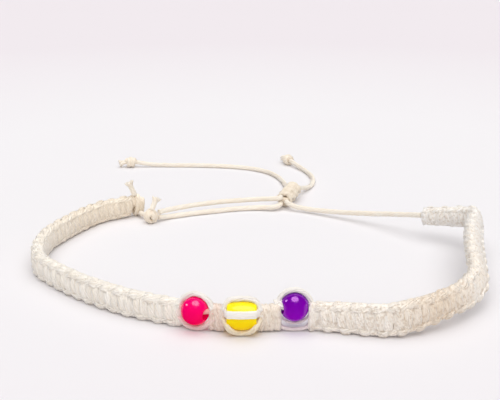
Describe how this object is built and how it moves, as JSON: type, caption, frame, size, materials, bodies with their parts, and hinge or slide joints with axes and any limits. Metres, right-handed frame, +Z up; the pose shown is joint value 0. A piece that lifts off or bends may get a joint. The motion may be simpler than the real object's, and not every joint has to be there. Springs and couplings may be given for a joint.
{
  "type": "knotted cord bracelet with three beads",
  "caption": "Open adjustable bracelet of square-knotted ivory cord with round neon beads on its front, a sliding knot closure and two knotted tails.",
  "frame": {"origin": "middle of the lying loop, on the surface it rests on, without the two free tails and their knots", "axes": "+Z up from the surface, -Y towards the three beads, +X to the right as seen from the bead side"},
  "size_m": [0.0759, 0.0961, 0.0074],
  "materials": {
    "cord_knots": "silky twisted cord, square knots",
    "cord_plain": "silky twisted cord",
    "pink_acrylic": "glossy neon pink acrylic",
    "yellow_acrylic": "glossy yellow acrylic",
    "purple_acrylic": "glossy purple acrylic"
  },
  "bodies": {
    "root": {"band_left": "cord_knots", "knots_pink_yellow": "cord_knots", "knots_yellow_purple": "cord_knots", "band_right": "cord_knots", "bead_pink": "pink_acrylic", "bead_yellow": "yellow_acrylic", "bead_purple": "purple_acrylic", "thread_pink": "cord_plain", "thread_yellow": "cord_plain", "thread_purple": "cord_plain", "side_cord_pink_top": "cord_plain", "side_cord_pink_low": "cord_plain", "side_cord_yellow_top": "cord_plain", "side_cord_yellow_low": "cord_plain", "side_cord_purple_top": "cord_plain", "side_cord_purple_low": "cord_plain", "front_cord_yellow": "cord_plain", "end_knot": "cord_knots", "end_stub": "cord_plain", "lead_cord": "cord_plain", "tie_knot": "cord_knots", "tie_stub": "cord_plain", "loop_cord_low": "cord_plain", "loop_cord_high": "cord_plain", "loop_cord_right": "cord_plain", "sliding_knot": "cord_knots", "tail_cord_left": "cord_plain", "tail_knot_left": "cord_knots", "tail_cord_right": "cord_plain", "tail_knot_right": "cord_knots"}
  },
  "joints": []
}
